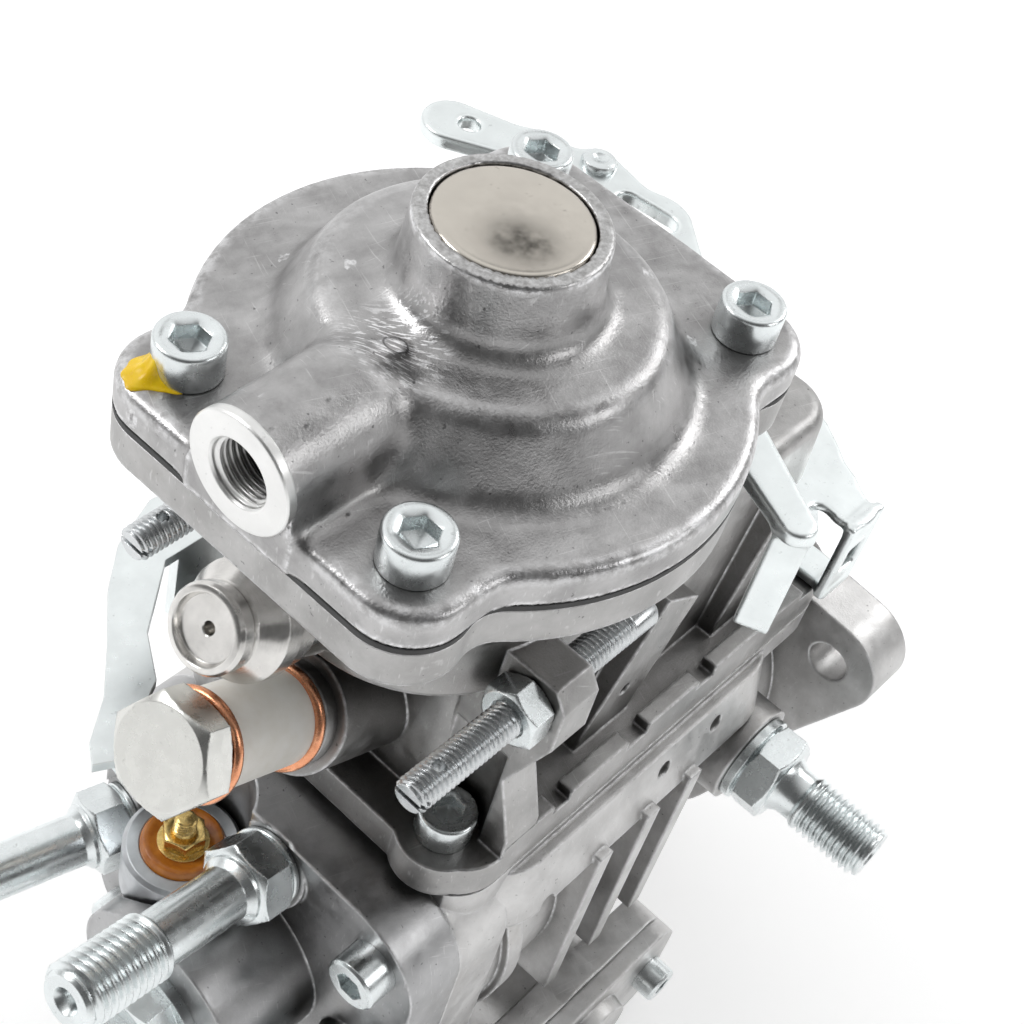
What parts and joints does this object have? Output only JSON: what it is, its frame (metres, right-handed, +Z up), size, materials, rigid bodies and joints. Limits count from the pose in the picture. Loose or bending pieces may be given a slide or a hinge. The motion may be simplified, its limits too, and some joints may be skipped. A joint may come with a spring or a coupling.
{
  "type": "diesel injection pump",
  "caption": "Rotary distributor diesel injection pump with boost compensator, speed lever, shut-off solenoid, injection timer and splayed fuel outlets.",
  "frame": {"origin": "where the drive shaft axis meets the face of the drive flange", "axes": "+X out of the drive end along the shaft, +Y left seen from the fuel outlets, +Z up through the compensator"},
  "size_m": [0.2249, 0.141, 0.2161],
  "materials": {
    "casting": "die-cast aluminium, matte",
    "cap_casting": "die-cast aluminium, matte, worn edges",
    "head_steel": "machined steel",
    "zinc": "bright zinc plated steel",
    "bright_steel": "turned bright steel",
    "tin": "smooth pressed steel disc",
    "inner_steel": "ground steel",
    "copper": "copper sealing washers",
    "sleeve": "off-white plastic sleeve",
    "gasket": "gasket and diaphragm rubber",
    "spring": "spring wire",
    "bronze": "bearing bronze",
    "insulator": "red-brown insulating plastic",
    "brass": "brass nut and stud",
    "solenoid_can": "plated can"
  },
  "bodies": {
    "pump_body": {"pump_housing": "casting", "governor_cover": "casting", "compensator_cap": "cap_casting", "cap_plug": "tin", "compensator_diaphragm": "gasket", "cap_screws": "zinc", "compensator_spring": "spring", "cover_gasket": "gasket", "cover_screws": "zinc", "return_bolt": "zinc", "copper_washers": "copper", "return_sleeve": "sleeve", "full_load_screw": "zinc", "full_load_nut": "zinc", "tamper_cap": "bright_steel", "stop_screws": "zinc", "stop_screw_nuts": "zinc", "timer_covers": "casting", "timer_screws": "zinc", "drive_bush": "bronze", "shaft_seal": "gasket", "feed_pump_ring": "inner_steel", "feed_pump_plate": "inner_steel", "governor_pins": "inner_steel", "governor_spring": "spring", "plunger_spring_seat": "inner_steel", "plunger_springs": "spring", "timer_spring": "spring", "distributor_head": "head_steel", "head_screws": "zinc", "delivery_valve_holders": "zinc", "centre_plug": "zinc", "solenoid_body": "solenoid_can", "solenoid_insulator": "insulator", "solenoid_terminal": "brass", "inlet_union": "zinc", "cable_bracket": "zinc", "rear_bracket": "zinc"},
    "shaft": {"drive_shaft": "inner_steel", "woodruff_key": "inner_steel", "shaft_nut": "zinc", "feed_pump_rotor": "inner_steel", "feed_pump_vanes": "inner_steel", "governor_drive_gear": "inner_steel", "drive_coupling": "inner_steel", "cam_plate": "inner_steel", "distributor_plunger": "inner_steel"},
    "flyweight_unit": {"flyweight_cage": "inner_steel", "flyweights": "inner_steel"},
    "sleeve": {"governor_sleeve": "inner_steel"},
    "governor_arm": {"governor_lever": "inner_steel"},
    "spool": {"control_spool": "inner_steel"},
    "timer_piston": {"timer_piston": "inner_steel"},
    "roller_carrier": {"roller_ring": "inner_steel", "cam_rollers": "inner_steel"},
    "boost_pin": {"compensator_pin": "inner_steel"},
    "speed_lever": {"control_lever": "zinc", "control_shaft": "inner_steel", "lever_nut": "zinc"},
    "armature": {"solenoid_armature": "inner_steel"}
  },
  "joints": [
    {"name": "shaft_turn", "type": "hinge", "parent": "pump_body", "child": "shaft", "pos_m": [0, 0, 0], "axis": [1, 0, 0], "continuous": true},
    {"name": "flyweight_turn", "type": "hinge", "parent": "pump_body", "child": "flyweight_unit", "pos_m": [-0.055, 0, 0.0435], "axis": [1, 0, 0], "continuous": true},
    {"name": "sleeve_slide", "type": "slide", "parent": "pump_body", "child": "sleeve", "axis": [-1, 0, 0], "range_m": [0, 0.002], "stiffness_N_per_m": 400, "springref_m": -0.003},
    {"name": "governor_arm_swing", "type": "hinge", "parent": "pump_body", "child": "governor_arm", "pos_m": [-0.0984, 0, 0.024], "axis": [0, -1, 0], "range_deg": [0, 6]},
    {"name": "spool_slide", "type": "slide", "parent": "pump_body", "child": "spool", "axis": [1, 0, 0], "range_m": [0, 0.0014]},
    {"name": "timer_slide", "type": "slide", "parent": "pump_body", "child": "timer_piston", "axis": [0, 1, 0], "range_m": [-0.004, 0.004], "stiffness_N_per_m": 2500, "deforming": ["timer_spring"]},
    {"name": "roller_carrier_turn", "type": "hinge", "parent": "pump_body", "child": "roller_carrier", "pos_m": [-0.076, 0, 0], "axis": [1, 0, 0], "range_deg": [-5.3, 5.3]},
    {"name": "boost_pin_slide", "type": "slide", "parent": "pump_body", "child": "boost_pin", "axis": [0, 0, -1], "range_m": [0, 0.005], "stiffness_N_per_m": 1500, "springref_m": -0.004, "deforming": ["compensator_spring"]},
    {"name": "speed_lever_turn", "type": "hinge", "parent": "pump_body", "child": "speed_lever", "pos_m": [-0.048, 0, 0.104], "axis": [0, 0, 1], "range_deg": [-24, 0], "stiffness_Nm_per_rad": 0.15, "springref_deg": 22.92},
    {"name": "armature_slide", "type": "slide", "parent": "pump_body", "child": "armature", "axis": [0, 0, 1], "range_m": [0, 0.0015], "stiffness_N_per_m": 300, "springref_m": -0.002}
  ],
  "couplings": [
    {"joint": "flyweight_turn", "follows": "shaft_turn", "ratio": -1.4167},
    {"joint": "governor_arm_swing", "follows": "sleeve_slide", "rad_per_m": 51.282},
    {"joint": "spool_slide", "follows": "sleeve_slide", "ratio": 0.667},
    {"joint": "roller_carrier_turn", "follows": "timer_slide", "rad_per_m": 22.727}
  ]
}
